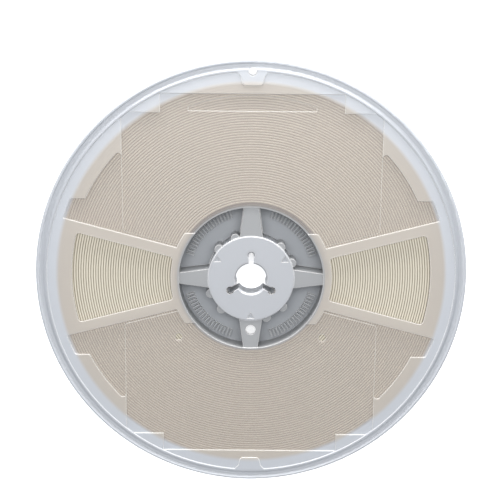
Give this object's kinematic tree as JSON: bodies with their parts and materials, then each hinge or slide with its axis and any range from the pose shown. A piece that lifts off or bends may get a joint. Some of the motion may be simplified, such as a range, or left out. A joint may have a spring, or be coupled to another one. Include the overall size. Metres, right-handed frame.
{
  "type": "smd tape reel",
  "caption": "Moulded plastic reel with two windowed flanges, a spoked hub with a slotted arbor hole and a full roll of paper carrier tape.",
  "frame": {"origin": "on the arbor hole's axis, in the plane that the rear flange's raised rim rests on", "axes": "+Z along the arbor hole, out of the front flange; +Y from the axis to the rim tab with the locating hole"},
  "size_m": [0.18, 0.18, 0.0115],
  "materials": {
    "front_plastic": "satin",
    "rear_plastic": "satin",
    "paper_tape": "matte"
  },
  "bodies": {
    "root": {"front_flange": "front_plastic", "rear_flange": "rear_plastic", "carrier_tape": "paper_tape"}
  },
  "joints": []
}
